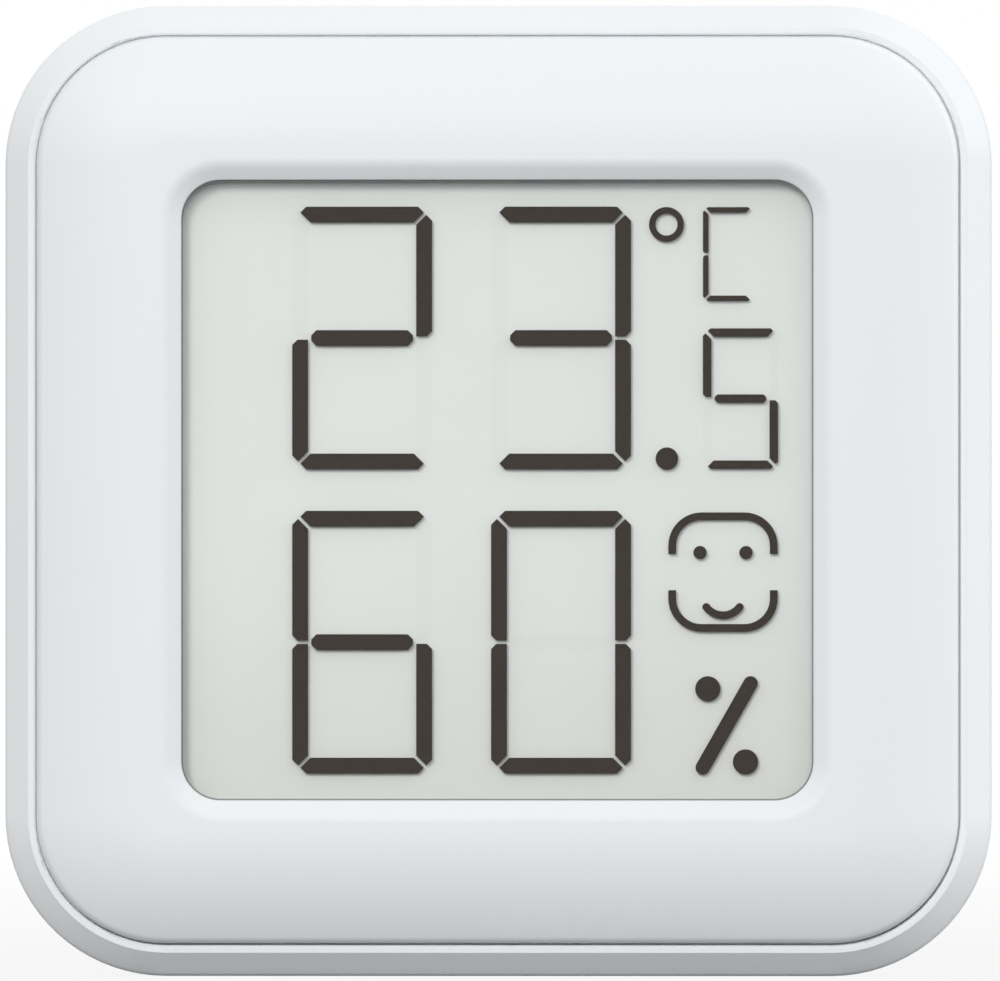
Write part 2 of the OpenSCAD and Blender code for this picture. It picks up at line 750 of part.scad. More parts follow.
// Half a section through the face: a large arc falls away from the flat middle and ends in a small edge arc
module face_profile() {
    middle = [cover_r - fall_w, front_z - fall_r];
    edge_middle = [cover_r - edge_r, middle[1] + edge_rise];
    meet = middle + fall_r * [sin(edge_turn), cos(edge_turn)];
    polygon([
        [0, seat_z], [cover_r, seat_z], [cover_r, edge_middle[1]], meet, [middle[0], front_z], [0, front_z]
    ]);
    translate(edge_middle) circle(edge_r);
    intersection() {
        translate(middle) circle(fall_r);
        translate([middle[0], seat_z]) square([meet[0] - middle[0], cover_d + seam_d + over]);
    }
}

module face_outside() {
    swept_solid(cover_w, cover_h, cover_r, seat_z, front_z) face_profile();
}

module window_cut() {
    reach = slope_w + over;
    far_r = window_r + reach;
    edge_z = front_z - slope_d;
    bend_r = window_r + slope_d / tan(slope_tilt);
    swept_solid(window_w + 2 * reach, window_h + 2 * reach, far_r, bezel_z - over, front_z + over) eased([
        [0, bezel_z - over], [window_r, bezel_z - over], [window_r, edge_z], [bend_r, front_z],
        [far_r, front_z], [far_r, front_z + over], [0, front_z + over]
    ], [0, 0, -window_edge_r, -slope_r, 0, 0, 0]);
}

module snap_hook() {
    face_y = cover_h / 2 - ledge_w - hook_gap;
    low_z = ledge_z - hook_gap - hook_nose;
    root_z = ceiling_z + wall / 2;
    block(about(0, hook_w), [face_y - hook_t, face_y], [low_z, root_z]);
    translate([-hook_w / 2, 0, 0]) rotate([90, 0, 90]) linear_extrude(hook_w) polygon([
        [face_y - hook_t / 2, low_z], [face_y, low_z], [face_y + hook_grip, low_z + hook_grip],
        [face_y + hook_grip, low_z + hook_nose], [face_y - hook_t / 2, low_z + hook_nose]
    ]);
}

module at_screws() {
    for (x = [-1, 1], y = [-1, 1]) {
        translate([x * screw_x, y * screw_y, 0]) children();
    }
}

module front_cover() {
    color("whitesmoke") upright() difference() {
        union() {
            difference() {
                face_outside();
                slab(cover_w - 2 * wall, cover_h - 2 * wall, cover_r - wall, seat_z - over, ceiling_z);
                block(about(0, glass_w + 2 * glass_clear),
                    about(front_glass_y, front_glass_h + 2 * glass_clear), [ceiling_z - over, bezel_z]);
            }
            at_screws() disc(boss_r, board_z, boss_top_z);
            for (x = [-1, 1], turn = [0, 180]) {
                rotate(turn) translate([x * hook_x, 0, 0]) snap_hook();
            }
        }
        window_cut();
        at_screws() disc(screw_r + screw_clear, board_z - over, pilot_end_z);
    }
}

module ring(w, h, r, width, low, high) {
    difference() {
        slab(w, h, r, low, high);
        slab(w - 2 * width, h - 2 * width, r - width, low - over, high + over);
    }
}

module lcd_gasket() {
    color("dimgray") upright()
        ring(window_w + 2 * gasket_reach, window_h + 2 * gasket_reach, window_r + gasket_reach, gasket_w,
            film_z, bezel_z);
}

module lcd_polarizer() {
    color("lightgray", 0.3) upright() slab(window_w + 2 * film_margin, window_h + 2 * film_margin,
        window_r, glass_z, film_z);
}

module lcd_front_glass() {
    color("azure", 0.3) upright()
        block(about(0, glass_w), about(front_glass_y, front_glass_h), [cell_front_z, glass_z]);
}

module lcd_rear_glass() {
    color("azure", 0.3) upright()
        block(about(0, glass_w), about(0, rear_glass_h), [rear_glass_z, cell_back_z]);
}

module lcd_seal() {
    color("lightsteelblue") upright()
        ring(glass_w - 2 * seal_in, rear_glass_h - 2 * seal_in, 2 * seal_w, seal_w,
            cell_back_z, cell_front_z);
}

module lcd_reflector() {
    color("honeydew") upright() slab(window_w + 2 * film_margin, window_h + 2 * film_margin,
        window_r, reflector_z, rear_glass_z);
}

// One upright segment on the right of a digit, from its mitred upper end to the middle of the digit
module side_segment(w, h, t, gap) {
    mitre = gap / sqrt(2);
    cut = corner_cut * t;
    polygon([
        [w / 2, h / 2 - cut], [w / 2, gap / 2 + end_cut * t], [w / 2 - end_cut * t, gap / 2],
        [w / 2 - t, gap / 2], [w / 2 - t, h / 2 - mitre - t],
        [w / 2 - (cut - mitre) / 2, h / 2 - (cut + mitre) / 2]
    ]);
}

// The bar along the top of a digit, with mitred ends
module end_segment(w, h, t, gap) {
    mitre = gap / sqrt(2);
    cut = corner_cut * t;
    tip_x = w / 2 - (cut + mitre) / 2;
    tip_y = h / 2 - (cut - mitre) / 2;
    polygon([
        [cut - w / 2, h / 2], [w / 2 - cut, h / 2], [tip_x, tip_y], [w / 2 - mitre - t, h / 2 - t],
        [mitre + t - w / 2, h / 2 - t], [-tip_x, tip_y]
    ]);
}

module middle_segment(w, t, gap) {
    half = w / 2 - t - gap;
    cut = end_cut * t;
    polygon([
        [half - cut, t / 2], [half, t / 2 - cut], [half, cut - t / 2], [half - cut, -t / 2],
        [cut - half, -t / 2], [-half, cut - t / 2], [-half, t / 2 - cut], [cut - half, t / 2]
    ]);
}

// A seven segment figure. The letters of lit run clockwise from the top, and g is the middle bar.
module figure(size, t, gap, lit) {
    for (name = lit) {
        if (name == "a") end_segment(size[0], size[1], t, gap);
        if (name == "b") side_segment(size[0], size[1], t, gap);
        if (name == "c") mirror([0, 1]) side_segment(size[0], size[1], t, gap);
        if (name == "d") mirror([0, 1]) end_segment(size[0], size[1], t, gap);
        if (name == "e") rotate(180) side_segment(size[0], size[1], t, gap);
        if (name == "f") mirror([1, 0]) side_segment(size[0], size[1], t, gap);
        if (name == "g") middle_segment(size[0], t, gap);
    }
}

module comfort_icon() {
    difference() {
        rounded(comfort_size[0], comfort_size[1], comfort_r);
        rounded(comfort_size[0] - 2 * comfort_t, comfort_size[1] - 2 * comfort_t, comfort_r - comfort_t);
        square([comfort_size[0] + over, comfort_open], center = true);
    }
    for (x = [-1, 1]) {
        translate([x * eye_at[0], eye_at[1]]) circle(eye_r);
    }
    translate([0, mouth_y + mouth_r]) {
        intersection() {
            difference() {
                circle(mouth_r + comfort_t / 2);
                circle(mouth_r - comfort_t / 2);
            }
            polygon([[0, 0], 2 * mouth_r * [sin(mouth_half), -cos(mouth_half)], [2 * mouth_r, -3 * mouth_r],
                [-2 * mouth_r, -3 * mouth_r], 2 * mouth_r * [-sin(mouth_half), -cos(mouth_half)]]);
        }
        for (x = [-1, 1]) {
            translate(mouth_r * [x * sin(mouth_half), -cos(mouth_half)]) circle(d = comfort_t);
        }
    }
}

module percent_sign() {
    for (turn = [0, 180]) {
        rotate(turn) translate(percent_dot_at) circle(percent_dot_r);
    }
    rotate(percent_tilt) {
        square([percent_len, percent_t], center = true);
        for (x = [-1, 1]) {
            translate([x * percent_len / 2, 0]) circle(d = percent_t);
        }
    }
}

module display_marks() {
    for (row = [[1, "abged", "abgcd"], [-1, "afgedc", "abcdef"]], place = [0, 1]) {
        translate([digit_x + place * digit_pitch, row[0] * row_y])
            figure([digit_w, digit_h], digit_t, segment_gap, row[place + 1]);
    }
    translate(degree_at) difference() {
        circle(degree_r);
        circle(degree_r - degree_t);
    }
    translate(unit_at) figure(unit_size, unit_t, 0.75 * segment_gap, "afed");
    translate(tenth_at) figure(tenth_size, tenth_t, segment_gap, "afgcd");
    translate(point_at) circle(point_r);
    translate(comfort_at) comfort_icon();
    translate(percent_at) percent_sign();
}

module lcd_segments() {
    color("dimgray") upright() translate([0, 0, (cell_front_z + cell_back_z - segment_t) / 2])
        linear_extrude(segment_t) scale([layout_scale, layout_scale]) display_marks();
}

module elastomer_connector() {
    middle_y = -glass_top - contact_ledge / 2;
    color("lightpink") upright()
        block(about(0, glass_w - 2 * connector_in), about(middle_y, connector_w), [board_z, cell_front_z]);
}

module foam_strip() {
    high_y = window_h / 2 + film_margin - foam_in;
    color("dimgray") upright()
        block(about(0, glass_w - 2 * foam_side), [high_y - foam_w, high_y], [board_z, reflector_z]);
}

module circuit_board() {
    color("seagreen") upright() difference() {
        slab(board_w, board_h, board_r, board_back_z, board_z);
        at_screws() disc(screw_r + screw_board_clear, board_back_z - over, board_z + over);
    }
}

module board_screws() {
    color("silver") upright() at_screws() difference() {
        union() {
            disc(screw_head_r, board_back_z - screw_head_h, board_back_z);
            disc(screw_r, board_back_z - screw_head_h / 2, board_back_z + screw_len);
        }
        for (turn = [0, 90]) {
            rotate(turn) block(about(0, 2 * screw_r), about(0, screw_r / 2),
                [board_back_z - screw_head_h - over, board_back_z - screw_head_h / 2]);
        }
    }
}

module controller_cap() {
    dome_r = (blob_r * blob_r + blob_h * blob_h) / (2 * blob_h);
    color("black") upright() translate([0, board_h / 2 - blob_in, board_back_z]) intersection() {
        translate([0, 0, dome_r - blob_h]) sphere(dome_r);
        disc(blob_r + over, -blob_h - over, 0);
    }
}

module crystal() {
    axis_z = board_back_z - crystal_r;
    color("silver") upright() translate([crystal_x, board_h / 2 - crystal_in, 0]) {
        translate([-crystal_len / 2, 0, axis_z]) rotate([0, 90, 0])
            cylinder(r = crystal_r, h = crystal_len);
        for (y = [-1, 1]) {
            translate([crystal_len / 2, y * crystal_r / 2, axis_z]) {
                block([-crystal_r, crystal_lead], about(0, 2 * lead_r), about(0, 2 * lead_r));
                block([crystal_lead - 2 * lead_r, crystal_lead], about(0, 2 * lead_r), [-lead_r, crystal_r]);
            }
        }
    }
}

module humidity_sensor() {
    back = board_back_z - humidity_lift;
    color("gainsboro") upright() block(about(humidity_at[0], humidity_size[0]),
        about(humidity_at[1], humidity_size[1]), [back - humidity_size[2], back]);
}

module sensor_leads() {
    color("silver") upright() for (x = [-1, 1]) {
        translate([humidity_at[0] + x * lead_pitch / 2, humidity_at[1], 0])
            disc(lead_r, board_back_z - humidity_lift, board_back_z);
    }
}

module thermistor() {
    color("black") upright() translate([bead_x, board_h / 2 - bead_in, board_back_z]) {
        translate([0, 0, -bead_lift]) sphere(bead_r);
        for (x = [-1, 1]) {
            translate([x * bead_r / 2, 0, 0]) disc(lead_r, -bead_lift, 0);
        }
    }
}

module chip_row(size, count, x) {
    for (k = [0:count - 1]) {
        translate([x, chip_low - board_h / 2 + k * chip_pitch, 0]) block(
            about(0, size[0]), about(0, size[1]), [board_back_z - size[2], board_back_z]);
    }
}

module chip_resistors() {
    color("black") upright() chip_row(resistor_size, resistor_n, -chip_x);
}

module chip_capacitors() {
    color("tan") upright() chip_row(capacitor_size, capacitor_n, chip_x);
}

module at_button() {
    upright() translate([button_at[0], button_at[1], 0]) children();
}

module switch_body() {
    color("black") at_button() difference() {
        block(about(0, switch_w), about(0, switch_w), [switch_z, board_back_z]);
        disc(plunger_r + plunger_clear, switch_z - over,
            switch_z + plunger_in + button_travel + plunger_clear);
    }
}

module switch_plunger() {
    color("darkred") at_button() disc(plunger_r, plunger_z, switch_z + plunger_in);
}

module unit_button() {
    flange_z = button_end_z + button_flange_t;
    color("lightgray") at_button() {
        rotate_extrude() eased([
            [0, back_z + button_sink], [button_r, back_z + button_sink], [button_r, button_end_z],
            [button_flange_r, button_end_z], [button_flange_r, flange_z], [button_stem_r, flange_z],
            [button_stem_r, plunger_z], [0, plunger_z]
        ], [0, button_edge_r, 0, 0, 0, 0, 0, 0]);
    }
}

// A bent strip, drawn along a line of points and then given its width
module strip(points, width) {
    back = [for (k = [len(points) - 1:-1:0]) points[k] + [0, contact_t]];
    rotate([90, 0, 0]) translate([0, 0, -width / 2]) linear_extrude(width) polygon(concat(points, back));
}

module contact_negative() {
    touch_z = cell_top_z + contact_gap;
    foot_z = board_back_z - contact_t;
    reach = cell_r / 2;
    color("silver") upright() translate([0, door_y, 0]) strip([
        [-reach, (touch_z + foot_z) / 2], [-reach / 3, touch_z], [reach / 3, touch_z],
        [reach, foot_z], [cell_r - cell_seal, foot_z]
    ], contact_w);
}

module contact_positive() {
    side = -cell_r - contact_gap;
    low_z = cell_z + cell_t / 3;
    color("silver") upright() translate([0, door_y, 0]) {
        block(about(0, contact_w), [side - contact_t, side], [low_z, board_back_z]);
        block(about(0, contact_w), [side - contact_foot, side], [board_back_z - contact_t, board_back_z]);
    }
}

module in_cell() {
    upright() translate([0, door_y, 0]) children();
}

module cell_can() {
    color("silver") in_cell() difference() {
        disc(cell_r, cell_z, cell_top_z - cell_step);
        disc(cell_r - cell_sheet, cell_z + cell_sheet, cell_top_z);
    }
}

module cell_gasket() {
    color("dimgray") in_cell() difference() {
        disc(cell_r - cell_sheet, cell_z + cell_sheet, cell_top_z - cell_step);
        disc(cell_r - cell_sheet - cell_seal, cell_z, cell_top_z);
    }
}

module cell_core() {
    color("black") in_cell()
        disc(cell_r - 2 * cell_sheet - cell_seal, cell_z + cell_sheet, cell_top_z - cell_sheet);
}

module cell_cap() {
    color("silver") in_cell() difference() {
        disc(cell_r - cell_sheet - cell_seal, cell_z + 2 * cell_sheet, cell_top_z);
        disc(cell_r - 2 * cell_sheet - cell_seal, cell_z, cell_top_z - cell_sheet);
    }
}

module battery_door() {
    face_z = back_z + door_sink;
    color("whitesmoke") in_cell() difference() {
        union() {
            rotate_extrude() eased([
                [0, face_z], [door_r, face_z], [door_r, face_z + door_t], [neck_r, face_z + door_t],
                [neck_r, neck_z], [neck_r - door_neck, neck_z], [neck_r - door_neck, lug_z], [0, lug_z]
            ], [0, door_edge_r, 0, 0, 0, 0, 0, 0]);
            for (k = [0:lug_n - 1]) {
                sector(neck_r - door_neck / 2, lug_r, lug_start + k * 360 / lug_n, lug_span, lug_z, neck_z);
            }
        }
        translate([0, 0, face_z - over]) linear_extrude(over + slot_d) rotate(90) obround(slot_w, slot_len);
        rotate(lug_start) translate([door_r - mark_d, 0, face_z - over])
            cylinder(d = mark_d, h = over + mark_depth);
    }
}

module stand() {
    heel_front = stand_front - heel_len * tan(stand_open);
    color("whitesmoke") upright() {
        intersection() {
            translate([0, 0, back_z]) linear_extrude(hinge_d + stand_front + over)
                stand_plan(0, heel_len + over);
            translate([-arm_out_x - over, hinge_y, hinge_z]) rotate([90, 0, 90])
                linear_extrude(2 * (arm_out_x + over)) eased([
                    [-stand_len, -stand_back], [heel_len, -stand_back], [heel_len, heel_front],
                    [0, stand_front], [-stand_len, stand_front]
                ], [foot_r, 0, 0, 0, foot_r]);
        }
        for (x = [-1, 1]) {
            translate([x * (arm_out_x - over), hinge_y, hinge_z]) rotate([0, x * 90, 0])
                cylinder(r = pin_r, h = over + stand_clear + pin_len);
        }
    }
}

front_cover();
rear_shell();
lcd_gasket();
lcd_polarizer();
lcd_front_glass();
lcd_segments();
lcd_seal();
lcd_rear_glass();
lcd_reflector();
elastomer_connector();
foam_strip();
circuit_board();
board_screws();
controller_cap();
crystal();
humidity_sensor();
sensor_leads();
thermistor();
chip_resistors();
chip_capacitors();
switch_body();
switch_plunger();
unit_button();
contact_positive();
contact_negative();
cell_can();
cell_gasket();
cell_core();
cell_cap();
battery_door();
stand();
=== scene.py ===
import math

import bmesh
import bpy
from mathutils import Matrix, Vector


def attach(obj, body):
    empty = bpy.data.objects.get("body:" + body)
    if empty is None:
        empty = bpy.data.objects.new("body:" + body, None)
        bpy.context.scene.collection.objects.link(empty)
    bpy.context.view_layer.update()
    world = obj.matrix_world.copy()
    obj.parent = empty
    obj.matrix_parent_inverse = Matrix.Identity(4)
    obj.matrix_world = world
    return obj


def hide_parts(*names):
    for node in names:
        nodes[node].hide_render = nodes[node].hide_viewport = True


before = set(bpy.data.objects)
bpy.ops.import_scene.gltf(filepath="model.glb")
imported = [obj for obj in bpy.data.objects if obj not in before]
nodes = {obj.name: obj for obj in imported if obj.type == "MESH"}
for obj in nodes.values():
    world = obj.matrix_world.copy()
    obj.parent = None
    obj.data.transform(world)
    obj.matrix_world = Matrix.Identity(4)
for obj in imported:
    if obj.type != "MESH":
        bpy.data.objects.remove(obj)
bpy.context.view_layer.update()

MM = 0.001

# Sizes of the front cover and the display in millimetres, as in the part's source.
# On the face x runs to the right, y up and z towards the viewer, from the middle of the case.
CASE_W, CASE_H, FRONT_Z = 43.0, 42.35, 6.25
COVER_W, COVER_H, COVER_R = 40.1, 39.45, 5.55
COVER_SEAT_Z, COVER_WALL, SEAM_Z = 4.05, 1.3, 4.65
FALL_W, FALL_TILT, FALL_EDGE_R = 4.8, 30.0, 0.5
WINDOW_W, WINDOW_H, WINDOW_R = 27.5, 27.0, 1.7
SLOPE_W, SLOPE_TILT, SLOPE_R, WINDOW_EDGE_R = 0.95, 32.0, 0.9, 0.08
BEZEL_T = 0.65
BEZEL_Z = FRONT_Z - BEZEL_T
POCKET_W, POCKET_H, POCKET_R, POCKET_Y = 29.8, 31.5, 0.2, -1.1
FILM_W, FILM_H, FILM_Z = 29.03, 28.53, 5.5
GLASS_W, GLASS_H, GLASS_CUT_R = 29.5, 29.0, 0.05
FRONT_GLASS_H, FRONT_GLASS_Y, FRONT_GLASS_Z, FRONT_GLASS_BACK_Z = 31.2, -1.1, 5.35, 4.95
REAR_GLASS_Z, REFLECTOR_BACK_Z = 4.89, 4.24
DIGIT_SIZE, DIGIT_T, DIGIT_X, DIGIT_PITCH, ROW_Y = (6.09, 11.44), 0.69, -5.9, 8.66, 6.62
TENTH_SIZE, TENTH_T, TENTH_AT = (3.27, 6.12), 0.37, (10.57, 3.98)
SEGMENT_GAP, CORNER_CUT, END_CUT = 0.14, 0.88, 0.33

# Sizes in millimetres that the scene adds.
# A bead round the cover's wall nearly closes the seam. It lies deeper along the lower edge.
BEAD_W, BEAD_DROP, BEAD_LOW_DROP, BEAD_LOW_Y = 0.07, 0.3, 0.55, -14.5
# Seen through the rear glass, the reflecting film looks nearer than it lies.
REFLECTOR_SEEN_Z, REFLECTOR_MARGIN, UNLIT_T = 4.66, 0.45, 0.004
# Painted reflection: the display's reflecting film is darker and warmer towards its lower edge, between
# these heights over the base.
LOW_REFLECTION_FROM_Z, LOW_REFLECTION_FULL_Z = 20, 8
STAND_EDGE_R, WELD_GAP, FLOOR_GAP = 0.14, 0.0005, 0.02

# Steps of the roundings, and turns between faces in degrees.
CORNER_STEPS, LIP_STEPS, SLOPE_STEPS, FALL_STEPS, EDGE_STEPS, STAND_EDGE_STEPS = 20, 6, 12, 28, 14, 3
SKIN_SHARP_TURN, SOLID_SHARP_TURN, FLAT_TURN, STAND_EDGE_TURN = 35.0, 28.0, 0.5, 40.0

# The stage in metres. The picture and the case in it have the photograph's widths, in pixels.
LAMP_TARGET, FLOOR_REACH = (0, 0, 0.021), 3.0
FADE_FROM, FADE_TO, FADE_LEAST = 0.04, 0.4, 0.91
SENSOR_W, IMAGE_W_PX, CASE_W_PX = 36, 1000, 983


# Meshes

def upright(x, y, z):
    """A point of the face in the row frame, in metres."""
    return Vector((x, -z, y + CASE_H / 2)) * MM


def rounded_ring(half_w, half_h, r, z, middle=0.0):
    """The points round a rounded rectangle at one level."""
    points = []
    for k, (side, up) in enumerate(((1, 1), (-1, 1), (-1, -1), (1, -1))):
        x, y = side * (half_w - r), middle + up * (half_h - r)
        for i in range(CORNER_STEPS + 1):
            a = math.pi / 2 * (k + i / CORNER_STEPS)
            points.append((x + r * math.cos(a), y + r * math.sin(a), z))
    return points


def window_ring(grow, z):
    return rounded_ring(WINDOW_W / 2 + grow, WINDOW_H / 2 + grow, WINDOW_R + grow, z)


def cover_ring(inset, z):
    return rounded_ring(COVER_W / 2 - inset, COVER_H / 2 - inset, COVER_R - inset, z)


def bead_ring(inset):
    """The upper edge of the bead in the seam."""
    ring = []
    for x, y, z in cover_ring(inset, SEAM_Z - BEAD_DROP):
        low = min(1, max(0, (BEAD_LOW_Y - y) / (BEAD_LOW_Y + COVER_H / 2)))
        ring.append((x, y, z + (BEAD_DROP - BEAD_LOW_DROP) * low * low * (3 - 2 * low)))
    return ring


def pocket_ring(z):
    return rounded_ring(POCKET_W / 2, POCKET_H / 2, POCKET_R, z, POCKET_Y)


def film_ring(z):
    return rounded_ring(FILM_W / 2, FILM_H / 2, WINDOW_R, z)


def front_glass_ring(z):
    return rounded_ring(GLASS_W / 2, FRONT_GLASS_H / 2, GLASS_CUT_R, z, FRONT_GLASS_Y)


def rear_glass_ring(z):
    return rounded_ring(GLASS_W / 2, GLASS_H / 2, GLASS_CUT_R, z)


def arc(first, last, steps):
    """Angles from first to last, in radians, from angles in degrees."""
    return [math.radians(first + (last - first) * i / steps) for i in range(steps + 1)]


def finish_mesh(name, bm):
    """Turns the mesh outwards, shades its gentle edges smooth and links it as a new object."""
    bmesh.ops.recalc_face_normals(bm, faces=bm.faces)
    for face in bm.faces:
        face.smooth = True
    sharp = math.radians(SKIN_SHARP_TURN)
    for edge in bm.edges:
        edge.smooth = len(edge.link_faces) == 2 and edge.calc_face_angle() < sharp
    mesh = bpy.data.meshes.new(name)
    bm.to_mesh(mesh)
    bm.free()
    piece = bpy.data.objects.new(name, mesh)
    bpy.context.scene.collection.objects.link(piece)
    return piece


def loft(name, rings, capped):
    """A closed skin over rings of points. Its ends are capped, or else joined to each other."""
    bm = bmesh.new()
    rows = [[bm.verts.new(upright(*p)) for p in ring] for ring in rings]
    if capped:
        bm.faces.new(rows[0])
        bm.faces.new(rows[-1])
    for row, following in zip(rows, rows[1:] + ([] if capped else rows[:1])):
        for i in range(len(row)):
            j = (i + 1) % len(row)
            bm.faces.new((row[i], row[j], following[j], following[i]))
    return finish_mesh(name, bm)


def pane_rings():
    """The clear front of the display: the film on the front glass."""
    return [
        film_ring(FILM_Z), film_ring(FRONT_GLASS_Z),
        front_glass_ring(FRONT_GLASS_Z), front_glass_ring(FRONT_GLASS_BACK_Z),
    ]


def back_plate_rings():
    """The display's back: the reflecting film, with the edge of the rear glass round it."""
    return [
        window_ring(REFLECTOR_MARGIN, REFLECTOR_SEEN_Z), window_ring(REFLECTOR_MARGIN, REAR_GLASS_Z),
        rear_glass_ring(REAR_GLASS_Z), rear_glass_ring(REFLECTOR_BACK_Z),
    ]


def front_cover_rings():
    """The section of the cover, from the window's inner edge over the face and back along the inside."""
    tilt = math.radians(SLOPE_TILT)
    slope_d = (SLOPE_W - SLOPE_R * math.tan(tilt / 2)) * math.tan(tilt)
    lip_reach = WINDOW_EDGE_R / math.tan(math.radians(90 + SLOPE_TILT) / 2)
    lip_z = FRONT_Z - slope_d - lip_reach
    rings = [window_ring(0, BEZEL_Z)]
    for a in arc(0, 90 - SLOPE_TILT, LIP_STEPS):
        rings.append(window_ring(WINDOW_EDGE_R * (1 - math.cos(a)), lip_z + WINDOW_EDGE_R * math.sin(a)))
    for a in arc(-SLOPE_TILT, 0, SLOPE_STEPS):
        rings.append(window_ring(SLOPE_W + SLOPE_R * math.sin(a), FRONT_Z - SLOPE_R * (1 - math.cos(a))))
    fall_r = FALL_W / math.sin(math.radians(FALL_TILT))
    edge_rise = math.sqrt((fall_r - FALL_EDGE_R) ** 2 - (FALL_W - FALL_EDGE_R) ** 2)
    edge_turn = math.degrees(math.atan2(FALL_W - FALL_EDGE_R, edge_rise))
    for a in arc(0, edge_turn, FALL_STEPS):
        rings.append(cover_ring(FALL_W - fall_r * math.sin(a), FRONT_Z - fall_r * (1 - math.cos(a))))
    edge_z = FRONT_Z - fall_r + edge_rise
    for a in arc(edge_turn, 90, EDGE_STEPS)[1:]:
        rings.append(cover_ring(FALL_EDGE_R * (1 - math.sin(a)), edge_z + FALL_EDGE_R * math.cos(a)))
    ceiling_z = FRONT_Z - fall_r + math.sqrt(fall_r ** 2 - (FALL_W - COVER_WALL) ** 2) - COVER_WALL
    return rings + [
        bead_ring(0), bead_ring(-BEAD_W), cover_ring(-BEAD_W, COVER_SEAT_Z),
        cover_ring(COVER_WALL, COVER_SEAT_Z), cover_ring(COVER_WALL, ceiling_z),
        pocket_ring(ceiling_z), pocket_ring(BEZEL_Z),
    ]


def side_segment(w, h, t):
    """The right upper upright of a figure, from its mitred top to the figure's middle."""
    mitre, cut, end = SEGMENT_GAP / math.sqrt(2), CORNER_CUT * t, END_CUT * t
    return [
        (w / 2, h / 2 - cut), (w / 2, SEGMENT_GAP / 2 + end), (w / 2 - end, SEGMENT_GAP / 2),
        (w / 2 - t, SEGMENT_GAP / 2), (w / 2 - t, h / 2 - mitre - t),
        (w / 2 - (cut - mitre) / 2, h / 2 - (cut + mitre) / 2),
    ]


def middle_segment(w, t):
    """The middle bar of a figure, with cut corners."""
    half, cut = w / 2 - t - SEGMENT_GAP, END_CUT * t
    return [
        (half - cut, t / 2), (half, t / 2 - cut), (half, cut - t / 2), (half - cut, -t / 2),
        (cut - half, -t / 2), (-half, cut - t / 2), (-half, t / 2 - cut), (cut - half, t / 2),
    ]


def figure_segment(letter, size, t):
    """The outline of one segment. Letters run clockwise from the top, and g is the middle bar."""
    if letter == "g":
        return middle_segment(size[0], t)
    across, up = {"b": (1, 1), "c": (1, -1), "e": (-1, -1), "f": (-1, 1)}[letter]
    return [(across * x, up * y) for x, y in side_segment(*size, t)]


def thin_plates(name, outlines, front_z, back_z):
    """Thin flat plates between two levels."""
    bm = bmesh.new()
    for points in outlines:
        top = [bm.verts.new(upright(x, y, front_z)) for x, y in points]
        bottom = [bm.verts.new(upright(x, y, back_z)) for x, y in points]
        bm.faces.new(top)
        bm.faces.new(bottom[::-1])
        for i in range(len(points)):
            j = (i + 1) % len(points)
            bm.faces.new((top[i], top[j], bottom[j], bottom[i]))
    return finish_mesh(name, bm)


def unlit_outlines():
    """The segments of the figures that are switched off."""
    second_x = DIGIT_X + DIGIT_PITCH
    figures = [
        (DIGIT_X, ROW_Y, DIGIT_SIZE, DIGIT_T, "fc"), (second_x, ROW_Y, DIGIT_SIZE, DIGIT_T, "fe"),
        (DIGIT_X, -ROW_Y, DIGIT_SIZE, DIGIT_T, "b"), (second_x, -ROW_Y, DIGIT_SIZE, DIGIT_T, "g"),
        (*TENTH_AT, TENTH_SIZE, TENTH_T, "be"),
    ]
    return [
        [(x + px, y + py) for px, py in figure_segment(letter, size, t)]
        for x, y, size, t, letters in figures for letter in letters
    ]


def gentle_edges():
    """A geometry node group that welds a solid's faces and shades its gentle edges smooth."""
    group = bpy.data.node_groups.new("gentle_edges", "GeometryNodeTree")
    group.interface.new_socket("Geometry", in_out="INPUT", socket_type="NodeSocketGeometry")
    group.interface.new_socket("Geometry", in_out="OUTPUT", socket_type="NodeSocketGeometry")

    def add(kind, **settings):
        node = group.nodes.new(kind)
        for key, value in settings.items():
            setattr(node, key, value)
        return node

    start, end = add("NodeGroupInput"), add("NodeGroupOutput")
    weld = add("GeometryNodeMergeByDistance")
    weld.inputs["Distance"].default_value = WELD_GAP * MM
    angle = add("GeometryNodeInputMeshEdgeAngle")
    steep = add("FunctionNodeCompare", operation="GREATER_THAN")
    steep.inputs["B"].default_value = math.radians(SOLID_SHARP_TURN)
    faces = add("GeometryNodeSetShadeSmooth", domain="FACE")
    edges = add("GeometryNodeSetShadeSmooth", domain="EDGE")
    edges.inputs["Shade Smooth"].default_value = False
    link = group.links.new
    link(start.outputs[0], weld.inputs["Geometry"])
    link(weld.outputs["Geometry"], faces.inputs["Geometry"])
    link(faces.outputs["Geometry"], edges.inputs["Geometry"])
    link(angle.outputs["Unsigned Angle"], steep.inputs["A"])
    link(steep.outputs["Result"], edges.inputs["Selection"])
    link(edges.outputs["Geometry"], end.inputs[0])
    return group


def round_edges(piece, radius):
    """Gives a carried-over solid small rounded edges, with the radius in millimetres."""
    joined = piece.modifiers.new("joined_faces", "WELD")
    joined.merge_threshold = WELD_GAP * MM
    whole = piece.modifiers.new("whole_faces", "DECIMATE")
    whole.decimate_type, whole.angle_limit = "DISSOLVE", math.radians(FLAT_TURN)
    rounding = piece.modifiers.new("rounded_edges", "BEVEL")
    rounding.width, rounding.segments = radius * MM, STAND_EDGE_STEPS
    rounding.limit_method, rounding.angle_limit = "ANGLE", math.radians(STAND_EDGE_TURN)
    rounding.use_clamp_overlap = False


def smooth_solid(piece, group):
    """Gives a carried-over solid smooth roundings between its flat faces."""
    shading = piece.modifiers.new("gentle_edges", "NODES")
    shading.node_group = group
    weighted = piece.modifiers.new("flat_faces", "WEIGHTED_NORMAL")
    weighted.mode = "FACE_AREA"
    weighted.keep_sharp = True


